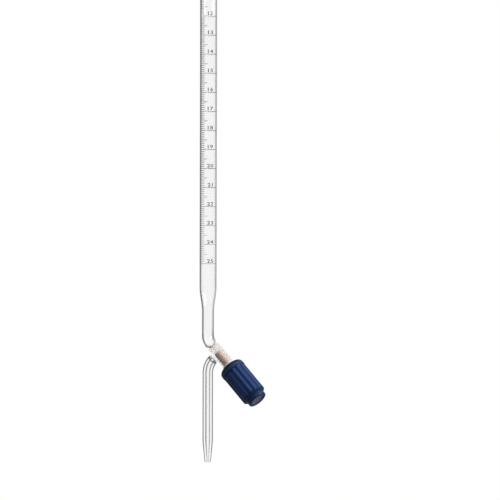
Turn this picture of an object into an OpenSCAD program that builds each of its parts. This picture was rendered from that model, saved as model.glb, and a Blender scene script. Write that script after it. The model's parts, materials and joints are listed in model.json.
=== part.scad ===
// Burette, 25 ml in 0.1 ml divisions, with a screw-thread PTFE valve set at 45 degrees.
// +Z runs up the axis of the tube, and the origin is the middle of the place where a burette clamp grips it.
// The valve lies in the XZ plane, with its knob towards +X and down.

/* [Scale] */
// Volume between the first and the last line, in millilitres
capacity_ml = 25; // [10:5:30]
// Bore of the graduated tube, which sets how far apart the lines are
bore_d = 9.8; // [9.2:0.1:10.6]
// Wall of the graduated tube
tube_wall = 1.0; // [0.8:0.1:1.3]
// Divisions in one millilitre
divisions = 10; // [2, 5, 10]
// Height of an enamelled line
line_w = 0.22; // [0.15:0.01:0.3]

/* [Tube ends] */
// Distance from the zero line up to the rim
rim_above_zero = 146; // [120:1:180]
// Distance from the zero line up to the middle of the clamp's grip
grip_above_zero = 85; // [60:1:100]
// Outside diameter of the flared rim
rim_d = 14.2; // [13.6:0.1:15.4]
// Distance from the last line down to the start of the shoulder
plain_below_scale = 16; // [10:1:20]
// Length of the shoulder where the tube narrows
shoulder_len = 17.4; // [14:0.2:20]
// Outside diameter of the neck below the shoulder
neck_d = 8.4; // [8:0.1:9]
// Distance from the last line down to where the valve's axis meets the tube's
valve_below_scale = 53; // [50:0.5:60]

/* [Valve body] */
// Angle between the valve's axis and the tube's axis
valve_tilt = 45; // [40:1:50]
// Outside diameter of the glass barrel where it shows
barrel_d = 8.6; // [8.4:0.1:9]
// Bore of the barrel, which the plunger runs in
barrel_bore_d = 6.5; // [6.2:0.1:6.6]
// Distance along the valve's axis from the tube's axis to the outlet port
port_at = 12.6; // [12.4:0.1:14]
// Distance along the valve's axis from the tube's axis to the front of the knob, closed
knob_at = 26.2; // [25:0.1:28]
// Lead of the valve's screw thread
thread_pitch = 3; // [2.5:0.1:3.2]

/* [Knob] */
// Outside diameter of the knob's collar
knob_d = 18.2; // [17:0.1:18.6]
// Length of the knob
knob_len = 32; // [32:0.5:35]
// Number of finger grooves round the knob
groove_count = 14; // [8:1:18]

/* [Jet] */
// Outside diameter of the jet's capillary
jet_d = 7.2; // [6.6:0.1:7.4]
// Bore of the jet's capillary
jet_bore_d = 2.3; // [1.6:0.1:2.4]
// Distance from the crossing of the two axes down to the tip
jet_drop = 85.1; // [75:0.1:100]
// Length of the jet's drawn taper
jet_taper = 14.3; // [10:0.5:20]
// Outside diameter of the tip
tip_d = 4.4; // [3.6:0.1:5]
// Bore of the tip
tip_bore_d = 0.9; // [0.6:0.1:1.2]

/* [Hidden] */
$fn = 72;

// Colours
glass_colour = [0.80, 0.88, 0.90, 0.45];
enamel_colour = [0.35, 0.33, 0.31];
ptfe_colour = [0.93, 0.91, 0.87];
seal_colour = [0.12, 0.12, 0.12];
washer_colour = [0.75, 0.72, 0.62];
steel_colour = [0.70, 0.71, 0.73];
knob_colour = [0.08, 0.14, 0.35];
disc_colour = [0.50, 0.36, 0.45];

// Heights of the graduated tube
bore_r = bore_d / 2;
tube_r = bore_r + tube_wall;
ml_step = 1000 / (PI * bore_r * bore_r);
zero_z = -grip_above_zero;
last_z = zero_z - capacity_ml * ml_step;
rim_z = zero_z + rim_above_zero;
rim_r = rim_d / 2;
rim_h = 1.9;
rim_root = 0.9;
mouth_round = 1.2;
shoulder_z = last_z - plain_below_scale;
neck_z = shoulder_z - shoulder_len;
crossing_z = last_z - valve_below_scale;

// Neck and inlet bend
neck_r = neck_d / 2;
neck_bore_r = 3.1;
inlet_tangent = 3;
inlet_bend_r = inlet_tangent / tan(valve_tilt / 2);
neck_len = neck_z - crossing_z - inlet_tangent;

// Lines of the scale, as angles round the tube from +X
line_proud = 0.03;
number_angle = -43;
short_end = number_angle - 41;
medium_end = number_angle - 20;
long_end = number_angle + 170;
short_span = 120;
medium_span = 160;
long_span = 345;

// Barrel, measured along the valve's axis from the crossing
waist_from = inlet_tangent + 0.6;
waist_at = 5.1;
waist_len = 0.4;
waist_r = 2.9;
waist_end = waist_at + waist_len + 1.4;
barrel_r = barrel_d / 2;
barrel_bore_r = barrel_bore_d / 2;
throat_r = 1.7;
funnel_from = waist_from - 0.3;
throat_from = waist_at - 0.3;
seat_from = waist_at + 1.2;
seat_len = 1.6;
port_r = jet_bore_d / 2;
flare_from = knob_at - 2.2;
flare_to = knob_at - 0.6;
flare_r = barrel_r + 1.1;
flare_edge = 0.5;
flare_len = 0.8;
root_r = barrel_r + 0.6;
root_edge = 0.5;
barrel_end = knob_at + 20.4;

// Screw thread, shared by the barrel and the knob. The knob's rib runs half a pitch from the barrel's.
thread_gap = 0.25;
thread_sink = 0.15;
thread_steps = 24;
thread_fade = 6;
thread_least = 0.2;
thread_phase = 4;
crest_r = root_r + 0.9;
knob_bore_r = crest_r + thread_gap;
knob_crest_r = root_r + thread_gap;
rib_foot = thread_pitch * 0.46;
rib_top = thread_pitch * 0.22;
barrel_thread_from = knob_at + 4;
barrel_thread_turns = 4;
knob_thread_from = barrel_thread_from - thread_pitch / 2;
knob_thread_turns = 3;

// Plunger, measured along the valve's axis from the crossing
running_gap = 0.05;
seat_gap = 0.1;
plunger_r = barrel_bore_r - running_gap;
nose_edge = 0.5;
needle_r = 2.3;
needle_from = seat_from + seat_gap + (needle_r - throat_r) * seat_len / (barrel_bore_r - throat_r);
body_from = port_at - 0.6;
body_edge = 0.7;
flange_from = barrel_end + 0.6;
flange_len = 1.5;
flange_r = 4.5;
ring_minor_r = 0.52;
ring_major_r = plunger_r - ring_minor_r + 0.02;
ring_groove_w = 1.3;
front_ring_at = knob_at + 3.4;
rear_ring_at = knob_at + 7.4;
stem_r = 2;
stem_hole_r = stem_r + 0.08;
washer_len = 0.5;
end_wall_from = flange_from + flange_len + washer_len + running_gap;
end_wall_len = 4;
stem_end = end_wall_from + end_wall_len + 0.15;
clip_washer_r = 3.5;
clip_washer_len = 0.8;
screw_r = 1.25;
screw_len = 9;
screw_head_r = 2.7;
screw_head_len = 1.7;
screw_edge = 0.5;
screw_slot_w = 0.6;
screw_slot_deep = 0.7;

// Knob
knob_r = knob_d / 2;
grip_r = knob_r - 0.15;
collar_len = 4.6;
collar_edge = 2.6;
collar_step = 0.4;
lip_len = 3;
lip_r = 6.95;
lip_edge = 1.2;
lip_neck_r = 6.6;
lip_neck_len = 0.5;
knob_shoulder_len = 1.6;
grip_end = knob_len - lip_len - knob_shoulder_len;
groove_r = 1.7;
groove_axis_r = grip_r + 1;
groove_run_out = sqrt(groove_r * groove_r - 1);
groove_from = collar_len + collar_step + groove_run_out;
groove_to = grip_end - groove_run_out;
pocket_r = 4.3;
disc_r = 5;
disc_len = 1;
disc_recess = 0.6;
dish_r = 10;
dish_deep = 0.4;

// Jet
jet_r = jet_d / 2;
jet_bend_r = 13;
jet_turn = 90 - valve_tilt;
jet_tangent = jet_bend_r * tan(jet_turn / 2);
axis_reach = port_at * tan(valve_tilt);
arm_end = axis_reach - jet_tangent;
turn_z = crossing_z - port_at / cos(valve_tilt);
jet_straight_z = turn_z - jet_tangent;
tip_z = crossing_z - jet_drop;
jet_len = jet_straight_z - tip_z;
jet_straight_len = jet_len - jet_taper;
tip_r = tip_d / 2;
tip_edge = 0.5;
tip_bore_len = 2;

// Puts children on the valve's axis, with +Z running out through the knob and +X towards the jet.
module on_valve_axis() {
    translate([0, 0, crossing_z])
        rotate([0, 180 - valve_tilt, 0])
            children();
}

// Puts children on the outlet arm's axis, seen from the valve's axis, with +Z running away from the barrel.
module on_outlet_axis() {
    translate([0, 0, port_at])
        rotate([0, 90, 0])
            children();
}

// A ring of rectangular section.
module washer(r_out, r_in, length) {
    difference() {
        cylinder(r = r_out, h = length);
        translate([0, 0, -1])
            cylinder(r = r_in, h = length + 2);
    }
}

// Half of a cosine, from 0 to 1, which gives the drawn shoulder its soft ends.
function ease(t) = (1 - cos(180 * t)) / 2;

// Points of the shoulder's outline, from one radius and height to the other.
function shoulder_points(r_from, r_to, z_from, z_to, steps) = [
    for (i = [0:steps])
        let (t = i / steps)
        [r_from + (r_to - r_from) * ease(t), z_from + (z_to - z_from) * t]
];

// Points of a quarter round from one angle to the other.
function arc_points(cx, cy, r, from, to, steps) = [
    for (i = [0:steps])
        let (a = from + (to - from) * i / steps)
        [cx + r * cos(a), cy + r * sin(a)]
];

// One turned solid from an outline given from bottom to top at the outside, closed along the axis.
module turned(points) {
    rotate_extrude()
        polygon(concat([[0, points[0][1]]], points, [[0, points[len(points) - 1][1]]]));
}

// Rings of the thread's section along a helix. The section is a trapezium that fades out at both ends.
function thread_points(r_foot, r_crest, turns) = [
    for (i = [0:turns * thread_steps])
        let (
            a = thread_phase + 360 * i / thread_steps,
            z = thread_pitch * i / thread_steps,
            to_end = min(i, turns * thread_steps - i),
            fade = min(1, to_end / thread_fade),
            r_top = r_foot + (r_crest - r_foot) * max(thread_least, fade),
            section = [[r_foot, -rib_foot], [r_top, -rib_top], [r_top, rib_top], [r_foot, rib_foot]]
        )
        for (p = section)
            [p[0] * cos(a), p[0] * sin(a), z + p[1] / 2]
];

// Side faces between two rings of four points, then the two end caps, ordered for a rib on an outer wall.
function thread_faces(turns) = concat(
    [
        for (i = [0:turns * thread_steps - 1], j = [0:3])
            let (a = 4 * i + j, b = 4 * i + (j + 1) % 4)
            [b, b + 4, a + 4, a]
    ],
    [[3, 2, 1, 0]],
    [[for (j = [0:3]) 4 * turns * thread_steps + j]]
);

// A helical rib. Where r_crest is less than r_foot the rib points inwards, and its faces turn the other way.
module thread(r_foot, r_crest, turns) {
    faces = thread_faces(turns);
    inward = r_crest < r_foot;
    polyhedron(
        points = thread_points(r_foot, r_crest, turns),
        faces = inward ? [for (f = faces) [for (k = [len(f) - 1:-1:0]) f[k]]] : faces,
        convexity = 8
    );
}

// Straight tube from the flared rim down through the drawn shoulder.
module graduated_tube() {
    outline = concat(
        shoulder_points(neck_r, tube_r, neck_z, shoulder_z, 12),
        [[tube_r, rim_z - rim_h - rim_root]],
        arc_points(rim_r - rim_h / 2, rim_z - rim_h / 2, rim_h / 2, -60, 90, 8),
        arc_points(bore_r + mouth_round, rim_z - mouth_round, mouth_round, 90, 180, 5),
        shoulder_points(bore_r, neck_bore_r, shoulder_z, neck_z, 12)
    );
    color(glass_colour)
        rotate_extrude()
            polygon(outline);
}

// One enamelled line, an arc that ends at end_angle and reaches back over span degrees.
module scale_line(z, end_angle, span) {
    translate([0, 0, z - line_w / 2])
        rotate([0, 0, end_angle - span])
            rotate_extrude(angle = span)
                translate([tube_r, 0])
                    square([line_proud, line_w]);
}

// Long lines at the millilitres, medium lines at the halves and short lines between them.
module graduation_lines() {
    color(enamel_colour)
        for (i = [0:capacity_ml * divisions]) {
            z = zero_z - i * ml_step / divisions;
            if (i % divisions == 0)
                scale_line(z, long_end, long_span);
            else if (i % divisions == divisions / 2)
                scale_line(z, medium_end, medium_span);
            else
                scale_line(z, short_end, short_span);
        }
}

// Solid run of the neck and its bend, of radius r, seen from the bend's upper end.
module neck_run(r) {
    cylinder(r = r, h = neck_len);
    translate([inlet_bend_r, 0, 0])
        rotate([90, 0, 0])
            rotate([0, 0, 180])
                rotate_extrude(angle = valve_tilt)
                    translate([inlet_bend_r, 0])
                        circle(r = r);
}

// Neck tube, bent from the tube's axis onto the valve's axis.
module inlet_bend() {
    color(glass_colour)
        translate([0, 0, neck_z - neck_len])
            difference() {
                neck_run(neck_r);
                neck_run(neck_bore_r);
            }
}

// Outside of the barrel, from the bend past the drawn waist and the flare to the threaded end.
module barrel_outside() {
    turned([
        [neck_r, inlet_tangent],
        [neck_r, waist_from],
        [waist_r, waist_at],
        [waist_r, waist_at + waist_len],
        [barrel_r, waist_end],
        [barrel_r, flare_from],
        [flare_r - flare_edge, flare_to - flare_edge],
        [flare_r, flare_to],
        [flare_r, flare_to + flare_len],
        [root_r, flare_to + flare_len + flare_r - root_r],
        [root_r, barrel_end - root_edge],
        [root_r - root_edge, barrel_end]
    ]);
}

// Hollow of the barrel: inlet, throat, conical seat and running bore.
module barrel_inside() {
    turned([
        [neck_bore_r, inlet_tangent - 1],
        [neck_bore_r, funnel_from],
        [throat_r, throat_from],
        [throat_r, seat_from],
        [barrel_bore_r, seat_from + seat_len],
        [barrel_bore_r, barrel_end + 1]
    ]);
}

// Glass barrel with the seat, the outlet port and the thread that the knob screws on.
module stopcock_barrel() {
    color(glass_colour)
        on_valve_axis()
            difference() {
                union() {
                    barrel_outside();
                    translate([0, 0, barrel_thread_from])
                        thread(root_r - thread_sink, crest_r, barrel_thread_turns);
                }
                barrel_inside();
                on_outlet_axis()
                    cylinder(r = port_r, h = barrel_r + 1);
            }
}

// Short capillary that leads from the port to the joint with the jet.
module outlet_arm() {
    color(glass_colour)
        on_valve_axis()
            difference() {
                on_outlet_axis()
                    cylinder(r = jet_r, h = arm_end);
                on_outlet_axis()
                    cylinder(r = port_r, h = arm_end + 1);
                cylinder(r = barrel_r, h = knob_at);
            }
}

// Solid run of the jet above its taper, of radius r, seen from the bend's lower end.
module jet_run(r) {
    translate([jet_bend_r, 0, 0])
        rotate([90, 0, 0])
            rotate([0, 0, 180])
                rotate_extrude(angle = -jet_turn)
                    translate([jet_bend_r, 0])
                        circle(r = r);
    translate([0, 0, -jet_straight_len])
        cylinder(r = r, h = jet_straight_len);
}

// Capillary jet, bent back under the tube's axis and drawn to a fine tip.
module delivery_jet() {
    color(glass_colour)
        translate([0, 0, jet_straight_z])
            difference() {
                union() {
                    jet_run(jet_r);
                    translate([0, 0, tip_edge - jet_len])
                        cylinder(r1 = tip_r, r2 = jet_r, h = jet_taper - tip_edge);
                    translate([0, 0, -jet_len])
                        cylinder(r1 = tip_r - tip_edge, r2 = tip_r, h = tip_edge);
                }
                jet_run(port_r);
                translate([0, 0, -jet_len - 1])
                    cylinder(r = tip_bore_d / 2, h = tip_bore_len + 1);
                translate([0, 0, tip_bore_len - jet_len])
                    cylinder(r1 = tip_bore_d / 2, r2 = port_r, h = jet_taper - tip_bore_len);
            }
}

// PTFE key: needle with its closing cone, running body with two ring grooves, flange and hollow stem.
module plunger() {
    color(ptfe_colour)
        on_valve_axis()
            difference() {
                turned([
                    [throat_r - nose_edge, seat_from + seat_gap - nose_edge],
                    [throat_r, seat_from + seat_gap],
                    [needle_r, needle_from],
                    [needle_r, body_from - body_edge],
                    [plunger_r, body_from],
                    [plunger_r, flange_from],
                    [flange_r, flange_from],
                    [flange_r, flange_from + flange_len],
                    [stem_r, flange_from + flange_len],
                    [stem_r, stem_end]
                ]);
                for (at = [front_ring_at, rear_ring_at])
                    translate([0, 0, at - ring_groove_w / 2])
                        washer(plunger_r + 1, ring_major_r - ring_minor_r, ring_groove_w);
                translate([0, 0, stem_end - screw_len])
                    cylinder(r = screw_r, h = screw_len + 1);
            }
}

// Rubber ring in one of the plunger's grooves, drawn at its squeezed size.
module seal_ring(at) {
    color(seal_colour)
        on_valve_axis()
            translate([0, 0, at])
                rotate_extrude()
                    translate([ring_major_r, 0])
                        circle(r = ring_minor_r, $fn = 32);
}

module seal_ring_front() {
    seal_ring(front_ring_at);
}

module seal_ring_rear() {
    seal_ring(rear_ring_at);
}

// Washer between the plunger's flange and the knob's end wall, which takes the thrust as the knob turns.
module thrust_washer() {
    color(washer_colour)
        on_valve_axis()
            translate([0, 0, flange_from + flange_len])
                washer(flange_r - 0.2, stem_r, washer_len);
}

// Washer under the screw's head, which keeps the plunger's stem from drawing out of the knob.
module retaining_washer() {
    color(steel_colour)
        on_valve_axis()
            translate([0, 0, stem_end])
                washer(clip_washer_r, screw_r, clip_washer_len);
}

// Slotted screw in the end of the plunger's stem.
module retaining_screw() {
    head_at = stem_end + clip_washer_len;
    color(steel_colour)
        on_valve_axis()
            difference() {
                union() {
                    translate([0, 0, stem_end - screw_len + screw_edge])
                        cylinder(r = screw_r, h = screw_len - screw_edge + clip_washer_len);
                    turned([
                        [screw_head_r, head_at],
                        [screw_head_r, head_at + screw_head_len - screw_edge],
                        [screw_head_r - screw_edge, head_at + screw_head_len]
                    ]);
                }
                translate([-screw_head_r - 1, -screw_slot_w / 2, head_at + screw_head_len - screw_slot_deep])
                    cube([2 * screw_head_r + 2, screw_slot_w, screw_slot_deep + 1]);
            }
}

// Outside of the knob before its grooves are cut, from the rounded collar to the lip at its end.
module knob_outside() {
    lip_from = knob_len - lip_len;
    turned(concat(
        arc_points(knob_r - collar_edge, collar_edge, collar_edge, -90, 0, 6),
        [
            [knob_r, collar_len],
            [grip_r, collar_len + collar_step],
            [grip_r, grip_end],
            [lip_neck_r, lip_from],
            [lip_neck_r, lip_from + lip_neck_len],
            [lip_r, lip_from + lip_neck_len + lip_r - lip_neck_r]
        ],
        arc_points(lip_r - lip_edge, knob_len - lip_edge, lip_edge, 0, 90, 4)
    ));
}

// One finger groove along the grip, with round ends.
module finger_groove() {
    translate([groove_axis_r, 0, groove_from]) {
        cylinder(r = groove_r, h = groove_to - groove_from);
        sphere(r = groove_r);
        translate([0, 0, groove_to - groove_from])
            sphere(r = groove_r);
    }
}

// Hollow of the knob: threaded bore, stem hole through the end wall, screw pocket and seat of the end disc.
module knob_inside() {
    wall_from = end_wall_from - knob_at;
    disc_from = knob_len - disc_recess - disc_len;
    translate([0, 0, -1])
        cylinder(r = knob_bore_r, h = wall_from + 1);
    translate([0, 0, wall_from - 1])
        cylinder(r = stem_hole_r, h = end_wall_len + 2);
    translate([0, 0, wall_from + end_wall_len])
        cylinder(r = pocket_r, h = knob_len);
    translate([0, 0, disc_from])
        cylinder(r = disc_r, h = disc_len + disc_recess + 1);
}

// Screw cap that the fingers turn. It travels along the glass thread and carries the plunger with it.
module knob() {
    color(knob_colour)
        on_valve_axis()
            union() {
                translate([0, 0, knob_at])
                    difference() {
                        knob_outside();
                        knob_inside();
                        for (i = [0:groove_count - 1])
                            rotate([0, 0, 360 * i / groove_count])
                                finger_groove();
                    }
                translate([0, 0, knob_thread_from])
                    thread(knob_bore_r + thread_sink, knob_crest_r, knob_thread_turns);
            }
}

// Disc pressed into the knob's end, over the screw.
module end_disc() {
    color(disc_colour)
        on_valve_axis()
            translate([0, 0, knob_at + knob_len - disc_recess - disc_len])
                difference() {
                    cylinder(r = disc_r, h = disc_len);
                    translate([0, 0, disc_len + dish_r - dish_deep])
                        sphere(r = dish_r);
                }
}

graduated_tube();
graduation_lines();
inlet_bend();
stopcock_barrel();
outlet_arm();
delivery_jet();
plunger();
seal_ring_front();
seal_ring_rear();
thrust_washer();
retaining_washer();
retaining_screw();
knob();
end_disc();
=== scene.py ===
"""Looks of the burette: one fused glass body, its enamelled scale, and the PTFE key with its screw cap."""

import json
import math

import bmesh
import bpy
from mathutils import Matrix, Quaternion, Vector

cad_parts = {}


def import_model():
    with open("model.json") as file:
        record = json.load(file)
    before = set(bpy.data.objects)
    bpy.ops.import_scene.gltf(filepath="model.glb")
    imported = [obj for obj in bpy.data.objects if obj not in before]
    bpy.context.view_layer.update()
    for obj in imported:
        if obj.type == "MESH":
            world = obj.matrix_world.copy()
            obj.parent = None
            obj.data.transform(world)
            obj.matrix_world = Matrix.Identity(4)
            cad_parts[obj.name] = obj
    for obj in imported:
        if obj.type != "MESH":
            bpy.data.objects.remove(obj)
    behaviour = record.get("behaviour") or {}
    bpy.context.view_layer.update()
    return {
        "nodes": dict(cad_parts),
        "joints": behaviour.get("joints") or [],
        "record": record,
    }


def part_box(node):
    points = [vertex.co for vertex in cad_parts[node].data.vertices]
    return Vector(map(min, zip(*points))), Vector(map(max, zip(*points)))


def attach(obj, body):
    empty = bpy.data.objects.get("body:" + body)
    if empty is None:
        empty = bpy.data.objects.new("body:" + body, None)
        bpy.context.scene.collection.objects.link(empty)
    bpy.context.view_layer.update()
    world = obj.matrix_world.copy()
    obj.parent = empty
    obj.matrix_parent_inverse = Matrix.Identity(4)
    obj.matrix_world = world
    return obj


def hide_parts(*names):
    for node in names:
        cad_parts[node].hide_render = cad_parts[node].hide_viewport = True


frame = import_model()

MM = 0.001
record = frame["record"]
mounts = {m["name"]: m for m in record["mounts"]}
joints = {j["name"]: j for j in frame["joints"]}

# Axes of the object. The valve's local +Z runs out through the knob and its local +X towards the jet.
CROSSING = Vector(joints["knob_turn"]["pos_m"])
VALVE_AXIS = Vector(joints["knob_turn"]["axis"]).normalized()
VALVE_TURN = math.acos(-VALVE_AXIS.z)
ACROSS = Vector((0, 1, 0))
ON_VALVE = Matrix.Translation(CROSSING) @ Matrix(
    (ACROSS.cross(VALVE_AXIS), ACROSS, VALVE_AXIS)
).transposed().to_4x4()


# ---------------------------------------------------------------- measuring the frame


def corners(node):
    """Every vertex of a CAD node, in the row frame."""
    return [v.co for v in frame["nodes"][node].data.vertices]


def along_valve(node):
    """(start, end, largest radius) of a CAD node, measured along the valve's axis from the crossing."""
    offsets = [co - CROSSING for co in corners(node)]
    distances = [o.dot(VALVE_AXIS) for o in offsets]
    radii = [(o - VALVE_AXIS * d).length for o, d in zip(offsets, distances)]
    return min(distances), max(distances), max(radii)


# ---------------------------------------------------------------- building meshes

# Points of a mesh that lie closer together than this are joined
CLOSEST = 0.001 * MM


def add_piece(name, mesh, body, material, replaces=()):
    """Links a mesh as one piece of the object, riding on a CAD body."""
    piece = bpy.data.objects.new(name, mesh)
    bpy.context.scene.collection.objects.link(piece)
    mesh.materials.clear()
    mesh.materials.append(material)
    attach(piece, body)
    if replaces:
        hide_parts(*replaces)
    return piece


def smooth(mesh, sharp_angle=50):
    """Smooth shading, with an edge kept sharp where its faces meet at more than the angle in degrees."""
    mesh.shade_smooth()
    mesh.set_sharp_from_angle(angle=math.radians(sharp_angle))


def rounded(outline, steps=4):
    """A closed outline of (radius, distance, rounding) with each corner eased over its rounding."""
    points = []
    count = len(outline)
    for i, (r, s, rounding) in enumerate(outline):
        corner = Vector((r, s))
        if rounding == 0:
            points.append(corner)
            continue
        before = Vector(outline[i - 1][:2]) - corner
        after = Vector(outline[(i + 1) % count][:2]) - corner
        start = corner + before.normalized() * min(rounding, before.length * 0.49)
        end = corner + after.normalized() * min(rounding, after.length * 0.49)
        for k in range(steps + 1):
            t = k / steps
            points.append(start * (1 - t) ** 2 + corner * 2 * t * (1 - t) + end * t**2)
    return points


def spaced(points, step, closed=True):
    """The same outline with extra points, so that none is further than step from the next."""
    dense = []
    pairs = zip(points, points[1:] + points[:1]) if closed else zip(points, points[1:])
    for a, b in pairs:
        parts = max(1, math.ceil((b - a).length / step))
        dense += [a.lerp(b, k / parts) for k in range(parts)]
    return dense if closed else dense + [points[-1]]


def ring(matrix, radius, segments, relief=None):
    """Points of one ring round local Z. relief gives a change of radius at an angle."""
    points = []
    for k in range(segments):
        angle = 2 * math.pi * k / segments
        r = radius + (relief(angle) if relief else 0)
        points.append(matrix @ Vector((r * math.cos(angle), r * math.sin(angle), 0)))
    return points


def mesh_from_rings(name, rings, closed):
    """A skin over equal rings. A closed run joins its last ring to its first, and an open one is capped."""
    bm = bmesh.new()
    rows = [[bm.verts.new(p) for p in points] for points in rings]
    pairs = list(zip(rows, rows[1:] + rows[:1])) if closed else list(zip(rows, rows[1:]))
    for low, high in pairs:
        for k in range(len(low)):
            n = (k + 1) % len(low)
            bm.faces.new((low[k], low[n], high[n], high[k]))
    if not closed:
        bm.faces.new(rows[0])
        bm.faces.new(rows[-1])
    bmesh.ops.recalc_face_normals(bm, faces=bm.faces)
    mesh = bpy.data.meshes.new(name)
    bm.to_mesh(mesh)
    bm.free()
    return mesh


def turned(name, outline, matrix, segments=96, relief=None, closed=True):
    """A solid turned from an outline of (radius, distance along local Z).

    A closed outline makes a ring. An open one starts and ends near the axis, and is capped there."""
    rings = [
        ring(
            matrix @ Matrix.Translation((0, 0, p.y)),
            p.x,
            segments,
            relief and (lambda angle, p=p: relief(p, angle)),
        )
        for p in outline
    ]
    return mesh_from_rings(name, rings, closed)


def combined(name, base, tool, operation):
    """A new mesh, base with tool added to it or cut from it."""
    objects = [bpy.data.objects.new(name, mesh) for mesh in (base, tool)]
    for item in objects:
        bpy.context.scene.collection.objects.link(item)
    modifier = objects[0].modifiers.new(operation, "BOOLEAN")
    modifier.operation = operation
    modifier.solver = "EXACT"
    modifier.object = objects[1]
    graph = bpy.context.evaluated_depsgraph_get()
    result = bpy.data.meshes.new_from_object(objects[0].evaluated_get(graph))
    for item in objects:
        bpy.data.objects.remove(item)
    bm = bmesh.new()
    bm.from_mesh(result)
    bmesh.ops.dissolve_degenerate(bm, dist=CLOSEST, edges=bm.edges)
    bm.to_mesh(result)
    bm.free()
    return result


def smoothstep(low, high, x):
    """From 0 to 1 as x goes from low to high, level at both ends."""
    t = min(1.0, max(0.0, (x - low) / (high - low)))
    return t * t * (3 - 2 * t)


# ---------------------------------------------------------------- materials


def new_material(name):
    """(material, its nodes, its links, its Principled shader)"""
    material = bpy.data.materials.new(name)
    material.use_nodes = True
    nodes = material.node_tree.nodes
    return material, nodes, material.node_tree.links, nodes["Principled BSDF"]


def noise(nodes, links, scale, detail=4, stretch=(1, 1, 1)):
    """A noise texture in object space, in waves per metre, stretched per axis."""
    place = nodes.new("ShaderNodeTexCoord")
    mapping = nodes.new("ShaderNodeMapping")
    mapping.inputs["Scale"].default_value = stretch
    texture = nodes.new("ShaderNodeTexNoise")
    texture.inputs["Scale"].default_value = scale
    texture.inputs["Detail"].default_value = detail
    links.new(place.outputs["Object"], mapping.inputs["Vector"])
    links.new(mapping.outputs["Vector"], texture.inputs["Vector"])
    return texture.outputs["Fac"]


def ramp(nodes, links, source, colours, ends=(0.3, 0.7)):
    """A colour that runs from the first of two colours to the second as source goes between two ends."""
    node = nodes.new("ShaderNodeValToRGB")
    for element, end, colour in zip(node.color_ramp.elements, ends, colours):
        element.position = end
        element.color = (*colour, 1)
    links.new(source, node.inputs["Fac"])
    return node.outputs["Color"]


def span(nodes, links, source, low, high):
    """A number that runs from low to high as source goes from 0 to 1."""
    node = nodes.new("ShaderNodeMapRange")
    node.inputs["To Min"].default_value = low
    node.inputs["To Max"].default_value = high
    links.new(source, node.inputs["Value"])
    return node.outputs["Result"]


def part_way(nodes, links, source, low, high):
    """A number that runs from 0 to 1 as source goes from low to high."""
    node = nodes.new("ShaderNodeMapRange")
    node.inputs["From Min"].default_value = low
    node.inputs["From Max"].default_value = high
    links.new(source, node.inputs["Value"])
    return node.outputs["Result"]


def maths(nodes, links, operation, a, b):
    """A number worked out from two others."""
    node = nodes.new("ShaderNodeMath")
    node.operation = operation
    links.new(a, node.inputs[0])
    links.new(b, node.inputs[1])
    return node.outputs[0]


def mixed(nodes, links, blend, amount, under, over):
    """A colour made from two others by a blend. amount is a fixed number or a node's output."""
    node = nodes.new("ShaderNodeMixRGB")
    node.blend_type = blend
    for value, name in ((amount, "Fac"), (under, "Color1"), (over, "Color2")):
        if isinstance(value, bpy.types.NodeSocket):
            links.new(value, node.inputs[name])
        else:
            node.inputs[name].default_value = value
    return node.outputs["Color"]


def surface(nodes, links, shader, texture, colours, roughness, ends=(0.3, 0.7)):
    """Colour and roughness that vary together with a texture, each between two values."""
    links.new(ramp(nodes, links, texture, colours, ends), shader.inputs["Base Color"])
    links.new(span(nodes, links, texture, *roughness), shader.inputs["Roughness"])


def bump(nodes, links, shader, height, strength, distance):
    """Fine relief from a texture, distance metres deep."""
    node = nodes.new("ShaderNodeBump")
    node.inputs["Strength"].default_value = strength
    node.inputs["Distance"].default_value = distance
    links.new(height, node.inputs["Height"])
    links.new(node.outputs["Normal"], shader.inputs["Normal"])


def rising(nodes, links, vector, towards, low, high):
    """From 0 to 1 as a vector's part along a direction goes from low to high."""
    along = nodes.new("ShaderNodeVectorMath")
    along.operation = "DOT_PRODUCT"
    along.inputs[1].default_value = towards
    links.new(vector, along.inputs[0])
    return part_way(nodes, links, along.outputs["Value"], low, high)


def past(nodes, links, direction, low, high):
    """From 0 to 1 between two distances along a direction, measured from the crossing of the two axes."""
    place = nodes.new("ShaderNodeTexCoord").outputs["Object"]
    start = CROSSING.dot(direction)
    return rising(nodes, links, place, direction, start + low, start + high)


def see_through(nodes, links, shader, amount):
    """Mixes plain transparency into a shader."""
    clear = nodes.new("ShaderNodeBsdfTransparent")
    mix = nodes.new("ShaderNodeMixShader")
    links.new(amount, mix.inputs["Fac"])
    links.new(shader.outputs["BSDF"], mix.inputs[1])
    links.new(clear.outputs["BSDF"], mix.inputs[2])
    links.new(mix.outputs["Shader"], nodes["Material Output"].inputs["Surface"])


def glass_shader(name):
    """Clear borosilicate glass, faintly waved along the draw."""
    material, nodes, links, shader = new_material(name)
    shader.inputs["Transmission Weight"].default_value = 1
    shader.inputs["Roughness"].default_value = 0
    shader.inputs["IOR"].default_value = 1.47
    waves = noise(nodes, links, 260, detail=1, stretch=(1, 1, 0.05))
    bump(nodes, links, shader, waves, 0.08, 0.2 * MM)
    cloud = noise(nodes, links, 90, stretch=(1, 1, 0.15))
    tint = ramp(nodes, links, cloud, ((0.985, 0.99, 0.985), (0.995, 0.998, 0.996)))
    return material, nodes, links, shader, tint


def soft_light(nodes, links):
    """1 for lamps and soft light, which shine straight through the glass, otherwise 0."""
    path = nodes.new("ShaderNodeLightPath")
    return maths(nodes, links, "MAXIMUM", path.outputs["Is Shadow Ray"], path.outputs["Is Diffuse Ray"])


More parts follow.
